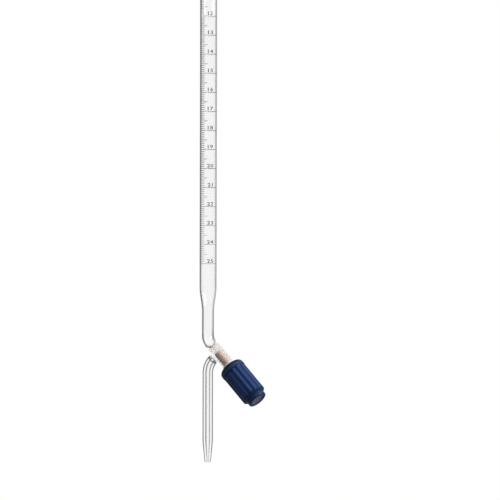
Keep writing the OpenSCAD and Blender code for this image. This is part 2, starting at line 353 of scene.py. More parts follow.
def glass_material():
    """Thin-walled glass. Its edges are fainter from the waist to the knob, a painted wash-out by bright
    light, and its flare is pale, a painted reflection of the bright surroundings.
    """
    material, nodes, links, shader, tint = glass_shader("glass")
    links.new(tint, shader.inputs["Base Color"])
    outwards = Vector((1, 0, -0.2)).normalized()
    # Painted glare: past here the glass is partly see-through, so its edges wash out as in bright light.
    barrel = past(nodes, links, outwards, 2.5 * MM, 4.5 * MM)
    # Painted reflection: on the flare the glass loses most of its transmission and shows pale, standing in
    # for the bright surroundings it mirrors.
    flare = past(nodes, links, VALVE_AXIS, FLARE_AT - 2.2 * MM, FLARE_AT - 1.4 * MM)
    faint = span(nodes, links, maths(nodes, links, "SUBTRACT", barrel, flare), 0, 0.75)
    clear = maths(nodes, links, "MAXIMUM", soft_light(nodes, links), faint)
    see_through(nodes, links, shader, clear)
    links.new(span(nodes, links, flare, 1, 0.15), shader.inputs["Transmission Weight"])
    return material


def capillary_material():
    """Thick-walled glass of the jet, darkened towards its outline where it is seen on the slant: painted
    shade for the dark edge lines that refraction gives.
    """
    material, nodes, links, shader, tint = glass_shader("capillary_glass")
    see_through(nodes, links, shader, soft_light(nodes, links))
    # Painted shade: the base colour darkens where the surface turns edge-on to the view.
    slant = nodes.new("ShaderNodeLayerWeight")
    slant.inputs["Blend"].default_value = 0.5
    edge = ramp(nodes, links, slant.outputs["Facing"], ((1, 1, 1), (0.02, 0.02, 0.02)), (0.26, 0.5))
    links.new(mixed(nodes, links, "MULTIPLY", 1, tint, edge), shader.inputs["Base Color"])
    return material


def enamel_material():
    """Fired brown-grey enamel, a little uneven in strength."""
    material, nodes, links, shader = new_material("enamel")
    cloud = noise(nodes, links, 900)
    surface(nodes, links, shader, cloud, ((0.075, 0.062, 0.055), (0.15, 0.13, 0.12)), (0.45, 0.7))
    return material


def ptfe_material():
    """Turned PTFE: beige, waxy and finely grained. Its thin needle is mostly see-through, a painted wash-out
    by bright light, not real translucency.
    """
    material, nodes, links, shader = new_material("ptfe")
    cloud = noise(nodes, links, 250)
    colours = ((0.64, 0.50, 0.43), (0.70, 0.555, 0.485))
    surface(nodes, links, shader, cloud, colours, (0.38, 0.55), ends=(0.25, 0.75))
    bump(nodes, links, shader, noise(nodes, links, 2600), 0.15, 0.05 * MM)
    # Painted glare: ahead of the body the PTFE is 70 % see-through, so its needle reads nearly as white as
    # the glass.
    body = past(nodes, links, VALVE_AXIS, PORT_AT - 0.6 * MM, PORT_AT + 0.9 * MM)
    see_through(nodes, links, shader, span(nodes, links, body, 0.7, 0))
    return material


def rubber_material():
    """Black rubber, dull and slightly mottled."""
    material, nodes, links, shader = new_material("seal_rubber")
    cloud = noise(nodes, links, 1200)
    surface(nodes, links, shader, cloud, ((0.012, 0.012, 0.013), (0.03, 0.03, 0.032)), (0.5, 0.75))
    return material


def washer_material():
    """Cream plastic sheet."""
    material, nodes, links, shader = new_material("washer_plastic")
    cloud = noise(nodes, links, 700)
    surface(nodes, links, shader, cloud, ((0.62, 0.57, 0.44), (0.74, 0.70, 0.58)), (0.4, 0.6))
    return material


def steel_material():
    """Stainless steel with streaks left by turning."""
    material, nodes, links, shader = new_material("turned_steel")
    shader.inputs["Metallic"].default_value = 1
    lines = noise(nodes, links, 900, detail=6, stretch=(1, 6, 1))
    surface(nodes, links, shader, lines, ((0.55, 0.56, 0.58), (0.72, 0.73, 0.75)), (0.22, 0.4))
    return material


def knob_material():
    """Moulded navy plastic with a fine grain, a little paler along its sharp ridges and edges."""
    material, nodes, links, shader = new_material("navy_plastic")
    shader.inputs["Specular IOR Level"].default_value = 0.22
    cloud = noise(nodes, links, 180, detail=6)
    navy = ramp(nodes, links, cloud, ((0.001, 0.014, 0.046), (0.002, 0.021, 0.068)))
    shape = nodes.new("ShaderNodeNewGeometry")
    # Paler where the surface is sharply convex, along the grip's ridges and edges.
    pale_ridges = part_way(nodes, links, shape.outputs["Pointiness"], 0.56, 0.7)
    colour = mixed(nodes, links, "MIX", pale_ridges, navy, (0.015, 0.045, 0.15, 1))
    links.new(colour, shader.inputs["Base Color"])
    links.new(span(nodes, links, cloud, 0.28, 0.42), shader.inputs["Roughness"])
    bump(nodes, links, shader, noise(nodes, links, 3200), 0.12, 0.04 * MM)
    return material


def disc_material():
    """Mauve-grey plastic."""
    material, nodes, links, shader = new_material("mauve_plastic")
    cloud = noise(nodes, links, 400)
    surface(nodes, links, shader, cloud, ((0.072, 0.072, 0.125), (0.115, 0.112, 0.18)), (0.35, 0.55))
    return material


# ---------------------------------------------------------------- the fused glass body

GLASS_SEGMENTS = 96
BORE_SEGMENTS = 48

# Radii and heights taken from the frame
TUBE_R = mounts["clamp_grip"]["dims"]["r_mm"] * MM
BORE_R = mounts["mouth"]["dims"]["r_mm"] * MM
JET_R = mounts["jet_stem"]["dims"]["r_mm"] * MM
JET_STRAIGHT = mounts["jet_stem"]["dims"]["length_mm"] * MM
NECK_R = (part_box("inlet_bend")[1].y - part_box("inlet_bend")[0].y) / 2
RIM_R = (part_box("graduated_tube")[1].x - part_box("graduated_tube")[0].x) / 2
RIM_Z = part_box("graduated_tube")[1].z
NECK_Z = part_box("graduated_tube")[0].z
TIP_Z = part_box("delivery_jet")[0].z
JET_STRAIGHT_Z = mounts["jet_stem"]["pos_m"][2] + JET_STRAIGHT / 2
BARREL_END = along_valve("stopcock_barrel")[1]
KNOB_START, KNOB_END, KNOB_R = along_valve("knob")
SCALE_LOW, SCALE_HIGH = (corner.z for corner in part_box("graduation_lines"))

# Rim and shoulder
RIM_H = 1.9 * MM
RIM_ROOT = 0.9 * MM
MOUTH_ROUND = 1.2 * MM
SHOULDER_Z = RIM_Z - MOUTH_ROUND - mounts["mouth"]["dims"]["length_mm"] * MM

# Neck, bend and barrel, along the valve's axis from the crossing
NECK_BORE_R = 3.1 * MM
BEND_TANGENT = 3 * MM
BEND_R = BEND_TANGENT / math.tan(VALVE_TURN / 2)
WAIST_AT = 5.1 * MM
WAIST_LEN = 0.4 * MM
WAIST_R = 2.9 * MM
BARREL_R = 4.3 * MM
BARREL_BORE_R = 3.25 * MM
THROAT_R = 1.7 * MM
SEAT_FROM = WAIST_AT + 1.2 * MM
SEAT_LEN = 1.6 * MM
PORT_AT = 12.6 * MM
PORT_R = 1.15 * MM
FLARE_AT = KNOB_START - 0.2 * MM
FLARE_R = 5.4 * MM
ROOT_R = 4.9 * MM
THREAD_H = 0.9 * MM
THREAD_PITCH = 3 * MM
THREAD_FROM = KNOB_START + 4 * MM
THREAD_TURNS = 4
THREAD_FADE = 0.6 * MM
# Half widths of a rib at its top and at its foot, as parts of the pitch
RIB_TOP = 0.11
RIB_FOOT = 0.23

# Jet
PORT_TURN = math.pi / 2 - VALVE_TURN
TURN_Z = CROSSING.z - PORT_AT / math.cos(VALVE_TURN)
JET_TANGENT = TURN_Z - JET_STRAIGHT_Z
JET_BEND_R = JET_TANGENT / math.tan(PORT_TURN / 2)
ARM_END = PORT_AT * math.tan(VALVE_TURN) - JET_TANGENT
JOINT_GAP = 0.02 * MM
TIP_R = 2.2 * MM
TIP_BORE_R = 0.45 * MM


def ease(t):
    """Half of a cosine, from 0 to 1, for the drawn shoulder."""
    return (1 - math.cos(math.pi * t)) / 2


def between(a, b, t):
    """The value a part t of the way from a to b."""
    return a + (b - a) * t


def at_height(z):
    """Place on the tube's axis."""
    return Matrix.Translation((0, 0, z))


def on_bend(angle):
    """Place on the neck's bend, after turning by angle from the tube's axis."""
    centre = Matrix.Translation((BEND_R, 0, CROSSING.z + BEND_TANGENT))
    return centre @ Matrix.Rotation(-angle, 4, "Y") @ Matrix.Translation((-BEND_R, 0, 0))


def down_valve(s):
    """Place on the valve's axis, turned as the rings that come down the bend are."""
    return Matrix.Translation(CROSSING + VALVE_AXIS * s) @ Matrix.Rotation(-VALVE_TURN, 4, "Y")


def thread_relief(s, angle, start, turns):
    """Height, from 0 to 1, of a right-hand rib at a place along the valve's axis and an angle round it."""
    turn = (s - start) / THREAD_PITCH - angle / (2 * math.pi)
    off_centre = abs(turn - round(turn))
    flank = 1 - smoothstep(RIB_TOP, RIB_FOOT, off_centre)
    end = start + turns * THREAD_PITCH
    rise = smoothstep(start, start + THREAD_FADE, s)
    fall = 1 - smoothstep(end - THREAD_FADE, end, s)
    return flank * rise * fall


def shoulder_rings(r_from, r_to, z_from, z_to, steps=24):
    """(place, radius) down or up the drawn shoulder."""
    parts = [k / steps for k in range(steps + 1)]
    return [(at_height(between(z_from, z_to, t)), between(r_from, r_to, ease(t))) for t in parts]


def straight_rings(r, z_from, z_to, step=8 * MM):
    """(place, radius) along a straight stretch of the tube, without its ends."""
    parts = max(2, math.ceil(abs(z_to - z_from) / step))
    return [(at_height(between(z_from, z_to, k / parts)), r) for k in range(1, parts)]


def bend_rings(r, steps=12):
    """(place, radius) down the neck's bend."""
    return [(on_bend(VALVE_TURN * k / steps), r) for k in range(steps + 1)]


def arc(cx, cy, r, start, end, steps):
    """Points of (radius, distance) along an arc, angles in degrees."""
    angles = [math.radians(between(start, end, k / steps)) for k in range(steps + 1)]
    return [(cx + r * math.cos(a), cy + r * math.sin(a)) for a in angles]


def rim_rings():
    """(place, radius) over the flared rim, from the outside wall to the mouth."""
    outside = arc(RIM_R - RIM_H / 2, RIM_Z - RIM_H / 2, RIM_H / 2, -75, 90, 10)
    mouth = arc(BORE_R + MOUTH_ROUND, RIM_Z - MOUTH_ROUND, MOUTH_ROUND, 90, 180, 8)
    return [(at_height(z), r) for r, z in outside + mouth]


def barrel_outline():
    """(distance, radius) along the outside of the barrel, from the bend to the threaded end."""
    points = [
        (BEND_TANGENT, NECK_R, 0),
        (BEND_TANGENT + 0.6 * MM, NECK_R, 0.4 * MM),
        (WAIST_AT, WAIST_R, 0.5 * MM),
        (WAIST_AT + WAIST_LEN, WAIST_R, 0.3 * MM),
        (WAIST_AT + WAIST_LEN + 1.4 * MM, BARREL_R, 0.7 * MM),
        (FLARE_AT - 2.2 * MM, BARREL_R, 1.2 * MM),
        (FLARE_AT - 0.5 * MM, FLARE_R, 0.5 * MM),
        (FLARE_AT + 0.5 * MM, FLARE_R, 0.3 * MM),
        (FLARE_AT + 1.0 * MM, ROOT_R, 0.4 * MM),
        (BARREL_END, ROOT_R, 0.6 * MM),
        (BARREL_END, BARREL_BORE_R, 0.4 * MM),
    ]
    eased = rounded([(r, s, e) for s, r, e in points])
    return [(p.y, p.x) for p in spaced(eased, 0.25 * MM, closed=False)]


def barrel_bore_outline():
    """(distance, radius) along the hollow of the barrel, from the threaded end back to the bend."""
    points = [
        (BARREL_END - 0.5 * MM, BARREL_BORE_R, 0),
        (SEAT_FROM + SEAT_LEN, BARREL_BORE_R, 0.4 * MM),
        (SEAT_FROM, THROAT_R, 0.4 * MM),
        (WAIST_AT - 0.3 * MM, THROAT_R, 0.9 * MM),
        (BEND_TANGENT + 0.3 * MM, NECK_BORE_R, 0.9 * MM),
        (BEND_TANGENT, NECK_BORE_R, 0),
    ]
    eased = rounded([(r, s, e) for s, r, e in points])
    return [(p.y, p.x) for p in spaced(eased, 0.5 * MM, closed=False)]


def valve_ring(s, r):
    """A ring of the barrel's outside, with the thread standing on it."""
    def rib(angle):
        # Rings that come down the bend count their angle the other way round from the valve's own.
        turned_angle = math.pi - angle
        return THREAD_H * thread_relief(s, turned_angle, THREAD_FROM, THREAD_TURNS)
    threaded = THREAD_FROM <= s <= THREAD_FROM + THREAD_TURNS * THREAD_PITCH and r > BARREL_R
    return ring(down_valve(s), r, GLASS_SEGMENTS, rib if threaded else None)


def main_glass():
    """Tube, shoulder, neck, bend and barrel as one wall, outside and inside."""
    down = straight_rings(TUBE_R, RIM_Z - RIM_H - RIM_ROOT, SHOULDER_Z)
    outside = (
        [(at_height(RIM_Z - RIM_H - RIM_ROOT), TUBE_R)]
        + down
        + shoulder_rings(TUBE_R, NECK_R, SHOULDER_Z, NECK_Z)
        + straight_rings(NECK_R, NECK_Z, CROSSING.z + BEND_TANGENT, 2 * MM)
        + bend_rings(NECK_R)[:-1]
    )
    inside = (
        straight_rings(BORE_R, RIM_Z - MOUTH_ROUND, SHOULDER_Z)
        + shoulder_rings(BORE_R, NECK_BORE_R, SHOULDER_Z, NECK_Z)
        + straight_rings(NECK_BORE_R, NECK_Z, CROSSING.z + BEND_TANGENT, 2 * MM)
        + bend_rings(NECK_BORE_R)[:-1]
    )
    rings = [ring(place, r, GLASS_SEGMENTS) for place, r in outside]
    rings += [valve_ring(s, r) for s, r in barrel_outline()]
    rings += [ring(down_valve(s), r, GLASS_SEGMENTS) for s, r in barrel_bore_outline()]
    rings += [ring(place, r, GLASS_SEGMENTS) for place, r in reversed(inside)]
    rings += [ring(place, r, GLASS_SEGMENTS) for place, r in reversed(rim_rings())]
    return mesh_from_rings("main_glass", rings, closed=True)


def on_arm(n):
    """Place on the outlet arm's axis, at a distance n from the valve's axis."""
    return ON_VALVE @ Matrix.Translation((n, 0, PORT_AT)) @ Matrix.Rotation(math.pi / 2, 4, "Y")


def on_jet_bend(angle):
    """Place on the jet's bend, after turning by angle from the arm's axis."""
    centre = Matrix.Translation((-JET_BEND_R, 0, 0))
    return on_arm(ARM_END) @ centre @ Matrix.Rotation(-angle, 4, "Y") @ centre.inverted()


def down_jet(z):
    """Place on the jet's straight stretch, turned as the rings that come round its bend are."""
    return at_height(z) @ Matrix.Rotation(math.pi, 4, "Y")


def arm_radius(n):
    """Radius of the outlet arm, with a flare where it is fused to the barrel and a faint seam at its end."""
    flare = 0.5 * MM * (1 - smoothstep(BARREL_R - 0.5 * MM, BARREL_R + 2 * MM, n))
    seam = 0.12 * MM * (1 - smoothstep(0, 0.5 * MM, abs(n - ARM_END)))
    return JET_R + flare + seam


def arm_outside():
    """Solid of the outlet arm, from the middle of the barrel to the joint with the jet."""
    reach = [ARM_END * k / 20 for k in range(21)]
    rings = [ring(on_arm(n), arm_radius(n), GLASS_SEGMENTS) for n in reach]
    return mesh_from_rings("arm_outside", rings, closed=False)


def arm_bore():
    """Solid of the outlet arm's channel."""
    rings = [ring(on_arm(n), PORT_R, BORE_SEGMENTS) for n in (0, ARM_END + 1 * MM)]
    return mesh_from_rings("arm_bore", rings, closed=False)


def jet_run(radius, steps=16):
    """(place, radius) from just below the joint down to the foot of the jet's straight stretch."""
    places = [(on_arm(ARM_END + JOINT_GAP), radius)]
    places += [(on_jet_bend(PORT_TURN * k / steps), radius) for k in range(1, steps + 1)]
    places += [(down_jet(JET_STRAIGHT_Z - JET_STRAIGHT * k / 10), radius) for k in range(1, 10)]
    return places


def taper(r_from, r_to, z_from, z_to, steps=12):
    """(place, radius) down the drawn end of the jet."""
    parts = [k / steps for k in range(steps + 1)]
    return [(down_jet(between(z_from, z_to, t)), between(r_from, r_to, t)) for t in parts]


def jet_outside():
    """Solid of the jet, down to its rounded tip."""
    places = jet_run(JET_R)
    places += taper(JET_R, TIP_R, JET_STRAIGHT_Z - JET_STRAIGHT, TIP_Z + 0.5 * MM)
    places.append((down_jet(TIP_Z + 0.15 * MM), TIP_R - 0.2 * MM))
    places.append((down_jet(TIP_Z), TIP_R - 0.6 * MM))
    rings = [ring(place, r, GLASS_SEGMENTS) for place, r in places]
    return mesh_from_rings("jet_outside", rings, closed=False)


def jet_bore():
    """Solid of the jet's channel, a little longer than the jet at both ends."""
    places = [(on_arm(ARM_END - 1 * MM), PORT_R)]
    places += jet_run(PORT_R)
    places += taper(PORT_R, TIP_BORE_R, JET_STRAIGHT_Z - JET_STRAIGHT, TIP_Z + 2 * MM)
    places.append((down_jet(TIP_Z - 1 * MM), TIP_BORE_R))
    rings = [ring(place, r, BORE_SEGMENTS) for place, r in places]
    return mesh_from_rings("jet_bore", rings, closed=False)


def glass_body(material):
    """The four upper glass tubes of the frame, fused into one seamless piece."""
    core_r = (BARREL_R + BARREL_BORE_R) / 2
    core = mesh_from_rings(
        "core",
        [ring(down_valve(s), core_r, GLASS_SEGMENTS) for s in (0.3 * PORT_AT, 2 * PORT_AT)],
        closed=False,
    )
    arm = combined("arm", arm_outside(), core, "DIFFERENCE")
    body = combined("body", main_glass(), arm, "UNION")
    mesh = combined("glass_body", body, arm_bore(), "DIFFERENCE")
    smooth(mesh, 40)
    nodes = ("graduated_tube", "inlet_bend", "stopcock_barrel", "outlet_arm")
    return add_piece("glass_body", mesh, "glass", material, nodes)


def jet(material):
    """The capillary jet below the joint."""
    mesh = combined("jet", jet_outside(), jet_bore(), "DIFFERENCE")
    smooth(mesh, 40)
    return add_piece("jet", mesh, "glass", material, ["delivery_jet"])


# ---------------------------------------------------------------- the enamelled scale

CAPACITY_ML = 25
DIVISIONS = 10
LINE_W = 0.22 * MM
ENAMEL_FROM = TUBE_R + 0.005 * MM
ENAMEL_TO = TUBE_R + 0.035 * MM
NUMBER_ANGLE = math.radians(-43)
NUMBER_H = 2.4 * MM
NUMBER_STRETCH = 1.3
NUMBER_GAP = 0.6 * MM
PRINT_STEP = 0.35 * MM
LINE_STEP = 2 * math.pi / GLASS_SEGMENTS
# Where each kind of line ends and how far back it reaches, in degrees
LONG_LINE = (127, 345)
MEDIUM_LINE = (-63, 160)
SHORT_LINE = (-84, 120)


def height_of(ml):
    """Height of the line at a volume."""
    top = SCALE_HIGH - LINE_W / 2
    bottom = SCALE_LOW + LINE_W / 2
    return top + (bottom - top) * ml / CAPACITY_ML


def add_line(bm, z, end, reach):
    """One thin arc of enamel that ends at the angle end and reaches back over reach, both in degrees."""
    start = math.radians(end - reach)
    parts = round(math.radians(reach) / LINE_STEP)
    section = [
        (ENAMEL_FROM, z - LINE_W / 2),
        (ENAMEL_TO, z - LINE_W / 2),
        (ENAMEL_TO, z + LINE_W / 2),
        (ENAMEL_FROM, z + LINE_W / 2),
    ]
    rows = []
    for k in range(parts + 1):
        angle = start + math.radians(reach) * k / parts
        rows.append([bm.verts.new((r * math.cos(angle), r * math.sin(angle), h)) for r, h in section])
    for a, b in zip(rows, rows[1:]):
        for k in range(4):
            n = (k + 1) % 4
            bm.faces.new((a[k], b[k], b[n], a[n]))
    bm.faces.new(rows[0])
    bm.faces.new(tuple(reversed(rows[-1])))


def line_kind(i):
    """Which kind of line the scale's line number i is."""
    if i % DIVISIONS == 0:
        return LONG_LINE
    return MEDIUM_LINE if i % (DIVISIONS // 2) == 0 else SHORT_LINE


def scale_lines(material):
    """All the lines of the scale."""
    bm = bmesh.new()
    for i in range(CAPACITY_ML * DIVISIONS + 1):
        add_line(bm, height_of(i / DIVISIONS), *line_kind(i))
    bmesh.ops.recalc_face_normals(bm, faces=bm.faces)
    mesh = bpy.data.meshes.new("scale_lines")
    bm.to_mesh(mesh)
    bm.free()
    return add_piece("scale_lines", mesh, "glass", material, ["graduation_lines"])


def lettering(text, height):
    """A bmesh of flat text, centred on x, standing on y = 0, at a letter height."""
    curve = bpy.data.curves.new("lettering", "FONT")
    curve.body = text
    curve.size = 1
    curve.space_character = 1.1
    curve.offset = 0.018
    curve.resolution_u = 3
    writer = bpy.data.objects.new("lettering", curve)
    bpy.context.scene.collection.objects.link(writer)
    bpy.context.view_layer.update()
    flat = bpy.data.meshes.new_from_object(writer.evaluated_get(bpy.context.evaluated_depsgraph_get()))
    bpy.data.objects.remove(writer)
    bm = bmesh.new()
    bm.from_mesh(flat)
    bpy.data.meshes.remove(flat)
    xs = [v.co.x for v in bm.verts]
    scale = height / 0.7
    middle = (min(xs) + max(xs)) / 2
    for v in bm.verts:
        v.co = Vector(((v.co.x - middle) * scale * NUMBER_STRETCH, v.co.y * scale, 0))
    return bm


def print_on_tube(target, text, height, angle, z):
    """Adds text to the target bmesh, wrapped round the tube as a thin layer of enamel."""
    bm = lettering(text, height)
    bmesh.ops.remove_doubles(bm, verts=bm.verts, dist=CLOSEST)
    xs = [v.co.x for v in bm.verts]
    for k in range(1, math.ceil((max(xs) - min(xs)) / PRINT_STEP)):
        place = (min(xs) + k * PRINT_STEP, 0, 0)
        geometry = bm.verts[:] + bm.edges[:] + bm.faces[:]
        bmesh.ops.bisect_plane(bm, geom=geometry, plane_co=place, plane_no=(1, 0, 0), dist=CLOSEST)
    outer = bm.verts[:]
    rim = [e for e in bm.edges if e.is_boundary]
    copy_of = bmesh.ops.duplicate(bm, geom=outer + bm.edges[:] + bm.faces[:])["vert_map"]
    for v in outer:
        v.co.z = ENAMEL_TO
        copy_of[v].co.z = ENAMEL_FROM
    for e in rim:
        a, b = e.verts
        bm.faces.new((a, b, copy_of[b], copy_of[a]))
    for v in bm.verts:
        turn = angle + v.co.x / TUBE_R
        v.co = Vector((v.co.z * math.cos(turn), v.co.z * math.sin(turn), z + v.co.y))
    bmesh.ops.dissolve_degenerate(bm, dist=CLOSEST, edges=bm.edges)
    bmesh.ops.recalc_face_normals(bm, faces=bm.faces)
    wrapped = bpy.data.meshes.new("wrapped")
    bm.to_mesh(wrapped)
    bm.free()
    target.from_mesh(wrapped)
    bpy.data.meshes.remove(wrapped)


def scale_numbers(material):
    """The numbers of the millilitres, and the volume, division and temperature above them."""
    bm = bmesh.new()
    for ml in range(CAPACITY_ML + 1):
        print_on_tube(bm, str(ml), NUMBER_H, NUMBER_ANGLE, height_of(ml) + LINE_W / 2 + NUMBER_GAP)
    for k, text in enumerate(("20 °C", "0.1 ml", "25 ml")):
        print_on_tube(bm, text, 2.6 * MM, NUMBER_ANGLE, height_of(0) + (14 + 6 * k) * MM)
    mesh = bpy.data.meshes.new("scale_numbers")
    bm.to_mesh(mesh)
    bm.free()
    return add_piece("scale_numbers", mesh, "glass", material)


# ---------------------------------------------------------------- the key

STEM_R = 2 * MM
STEM_BORE_R = 1.25 * MM
STEM_BORE_LEN = 9 * MM
NEEDLE_R = 2.3 * MM
FLANGE_LEN = 1.5 * MM
# Radius at which a turned solid is capped, close to its axis
CAP_R = 0.2 * MM


def plunger(material):
    """PTFE key with its needle, ring grooves, flange and hollow stem."""
    start, end, flange_r = along_valve("plunger")
    rings = [sum(along_valve(n)[:2]) / 2 for n in ("seal_ring_front", "seal_ring_rear")]
    body_r = BARREL_BORE_R - 0.05 * MM
    groove_r = body_r - 1.02 * MM
    groove_half = 0.65 * MM
    flange = along_valve("thrust_washer")[0] - FLANGE_LEN
    bore_end = end - STEM_BORE_LEN
    seat = SEAT_FROM + 0.1 * MM
    cone_end = seat + SEAT_LEN * (NEEDLE_R - THROAT_R) / (BARREL_BORE_R - THROAT_R)
    outline = [
        (0.3 * MM, start, 0),
        (THROAT_R - 0.5 * MM, start, 0.3 * MM),
        (THROAT_R, seat, 0.2 * MM),
        (NEEDLE_R, cone_end, 0.2 * MM),
        (NEEDLE_R, PORT_AT - 1.3 * MM, 0.3 * MM),
        (body_r, PORT_AT - 0.6 * MM, 0.25 * MM),
    ]
    for at in rings:
        outline += [
            (body_r, at - groove_half, 0.1 * MM),
            (groove_r, at - groove_half, 0.1 * MM),
            (groove_r, at + groove_half, 0.1 * MM),
            (body_r, at + groove_half, 0.1 * MM),
        ]
    outline += [
        (body_r, flange, 0.15 * MM),
        (flange_r, flange, 0.2 * MM),
        (flange_r, flange + FLANGE_LEN, 0.2 * MM),
        (STEM_R, flange + FLANGE_LEN, 0.1 * MM),
        (STEM_R, end, 0.1 * MM),
        (STEM_BORE_R, end, 0.1 * MM),
        (STEM_BORE_R, bore_end, 0.1 * MM),
        (0.3 * MM, bore_end, 0),
    ]
    points = spaced(rounded(outline), 1.5 * MM, closed=False)
    mesh = turned("plunger_key", points, ON_VALVE, closed=False)
    smooth(mesh)
    return add_piece("plunger_key", mesh, "key", material, ["plunger"])


def seal_ring(name, node, material):
    """A rubber ring of round section."""
    start, end, outer = along_valve(node)
    minor = (end - start) / 2
    steps = 24
    turn = 360 / steps
    points = [Vector(p) for p in arc(outer - minor, (start + end) / 2, minor, 0, 360 - turn, steps - 1)]
    mesh = turned(name, points, ON_VALVE, segments=72)
    smooth(mesh, 180)
    return add_piece(name, mesh, "key", material, [node])


def washer(name, node, inner, material):
    """A flat ring with softened edges."""
    start, end, outer = along_valve(node)
    bevel = 0.08 * MM
    outline = [(inner, start, bevel), (outer, start, bevel), (outer, end, bevel), (inner, end, bevel)]
    mesh = turned(name, rounded(outline), ON_VALVE)
    smooth(mesh)
    return add_piece(name, mesh, "key", material, [node])


def screw(material):
    """Slotted screw that holds the key's stem in the knob."""
    start, end, head_r = along_valve("retaining_screw")
    head = end - 1.7 * MM
    shank_r = STEM_BORE_R - 0.01 * MM
    outline = [
        (CAP_R, start, 0),
        (shank_r, start, 0.2 * MM),
        (shank_r, head, 0.05 * MM),
        (head_r, head, 0.1 * MM),
        (head_r, end, 0.5 * MM),
        (CAP_R, end, 0),
    ]
    points = spaced(rounded(outline), 1 * MM, closed=False)
    solid = turned("screw", points, ON_VALVE, segments=72, closed=False)
    bm = bmesh.new()
    bmesh.ops.create_cube(bm, size=1)
    slot_size = Vector((3 * head_r, 0.6 * MM, 1.4 * MM))
    bmesh.ops.scale(bm, vec=slot_size, verts=bm.verts)
    bmesh.ops.transform(bm, matrix=ON_VALVE @ Matrix.Translation((0, 0, end)), verts=bm.verts)
    slot = bpy.data.meshes.new("slot")
    bm.to_mesh(slot)
    bm.free()
    mesh = combined("stem_screw", solid, slot, "DIFFERENCE")
    smooth(mesh, 35)
    return add_piece("stem_screw", mesh, "key", material, ["retaining_screw"])


# ---------------------------------------------------------------- the knob

GROOVES = 14
GROOVE_DEPTH = 0.7 * MM
GROOVE_HALF = 1.5 * MM
GRIP_R = KNOB_R - 0.15 * MM
COLLAR_LEN = 4.6 * MM
COLLAR_ROUND = 2.6 * MM
LIP_LEN = 3 * MM
LIP_R = 6.95 * MM
LIP_NECK_R = 6.6 * MM
KNOB_LEN = KNOB_END - KNOB_START
LIP_FROM = KNOB_LEN - LIP_LEN
GRIP_END = LIP_FROM - 1.6 * MM
GROOVE_FROM = COLLAR_LEN + 0.5 * MM
GROOVE_TO = GRIP_END - 0.2 * MM
KNOB_BORE_R = ROOT_R + THREAD_H + 0.25 * MM
KNOB_RIB_H = 0.9 * MM
STEM_HOLE_R = 2.08 * MM
SCREW_WELL_R = 4.3 * MM
WALL_LEN = 4 * MM
KNOB_THREAD_FROM = 2.5 * MM
KNOB_THREAD_TURNS = 3


def groove(p, angle):
    """How far a finger groove sinks the grip at a point of the outline."""
    if p.x < GRIP_R - 0.5 * MM:
        return 0
    pitch = 2 * math.pi / GROOVES
    off_centre = abs((angle / pitch + 0.5) % 1 - 0.5) * pitch * GRIP_R
    if off_centre >= GROOVE_HALF:
        return 0
    across = 1 - (off_centre / GROOVE_HALF) ** 2
    ends = smoothstep(GROOVE_FROM, GROOVE_FROM + 1.2 * MM, p.y)
    ends *= 1 - smoothstep(GROOVE_TO - 0.8 * MM, GROOVE_TO, p.y)
    return -GROOVE_DEPTH * across * ends


def inner_rib(p, angle):
    """How far the knob's own thread stands into its bore at a point of the outline."""
    if abs(p.x - KNOB_BORE_R) > 0.01 * MM:
        return 0
    length = KNOB_THREAD_TURNS * THREAD_PITCH
    if not KNOB_THREAD_FROM <= p.y <= KNOB_THREAD_FROM + length:
        return 0
    return -KNOB_RIB_H * thread_relief(p.y, angle, KNOB_THREAD_FROM, KNOB_THREAD_TURNS)


def knob(material):
    """Screw cap: rounded collar, grooved grip, plain band, lip and hollow inside."""
    disc_start, _, disc_r = along_valve("end_disc")
    disc_start -= KNOB_START
    wall_start = along_valve("thrust_washer")[1] - KNOB_START + 0.05 * MM
    wall_end = wall_start + WALL_LEN
    front = arc(KNOB_R - COLLAR_ROUND, COLLAR_ROUND, COLLAR_ROUND, -90, 0, 12)
    outline = [(KNOB_BORE_R, 0, 0.15 * MM)]
    outline += [(r, s, 0) for r, s in front]
    outline += [
        (KNOB_R, COLLAR_LEN, 0.12 * MM),
        (GRIP_R - 0.3 * MM, COLLAR_LEN + 0.3 * MM, 0.12 * MM),
        (GRIP_R, COLLAR_LEN + 0.7 * MM, 0.2 * MM),
        (GRIP_R, GRIP_END, 0.6 * MM),
        (LIP_NECK_R, LIP_FROM, 0.25 * MM),
        (LIP_NECK_R, LIP_FROM + 0.5 * MM, 0.15 * MM),
        (LIP_R, LIP_FROM + 0.85 * MM, 0.15 * MM),
        (LIP_R, KNOB_LEN, 1.4 * MM),
        (disc_r, KNOB_LEN, 0.3 * MM),
        (disc_r, disc_start, 0.05 * MM),
        (SCREW_WELL_R, disc_start, 0.1 * MM),
        (SCREW_WELL_R, wall_end, 0.2 * MM),
        (STEM_HOLE_R, wall_end, 0.15 * MM),
        (STEM_HOLE_R, wall_start, 0.15 * MM),
        (KNOB_BORE_R, wall_start, 0.3 * MM),
    ]
    points = spaced(rounded(outline, 6), 0.3 * MM)
    mesh = turned(
        "screw_cap",
        points,
        ON_VALVE @ Matrix.Translation((0, 0, KNOB_START)),
        segments=GROOVES * 16,
        relief=lambda p, angle: groove(p, angle) + inner_rib(p, angle),
    )
    smooth(mesh, 60)
    return add_piece("screw_cap", mesh, "knob", material, ["knob"])


def end_disc(material):
    """Dished disc pressed into the knob's end."""
    start, end, outer = along_valve("end_disc")
    outline = [
        (CAP_R, start, 0),
        (outer, start, 0.1 * MM),
        (outer, end, 0.15 * MM),
        (outer - 0.9 * MM, end, 0.2 * MM),
        (outer - 1.2 * MM, end - 0.3 * MM, 0.2 * MM),
        (CAP_R, end - 0.45 * MM, 0),
    ]
    points = spaced(rounded(outline), 0.6 * MM, closed=False)
    mesh = turned("cap_disc", points, ON_VALVE, closed=False)
    smooth(mesh)
    return add_piece("cap_disc", mesh, "knob", material, ["end_disc"])


# ---------------------------------------------------------------- stage, light and camera

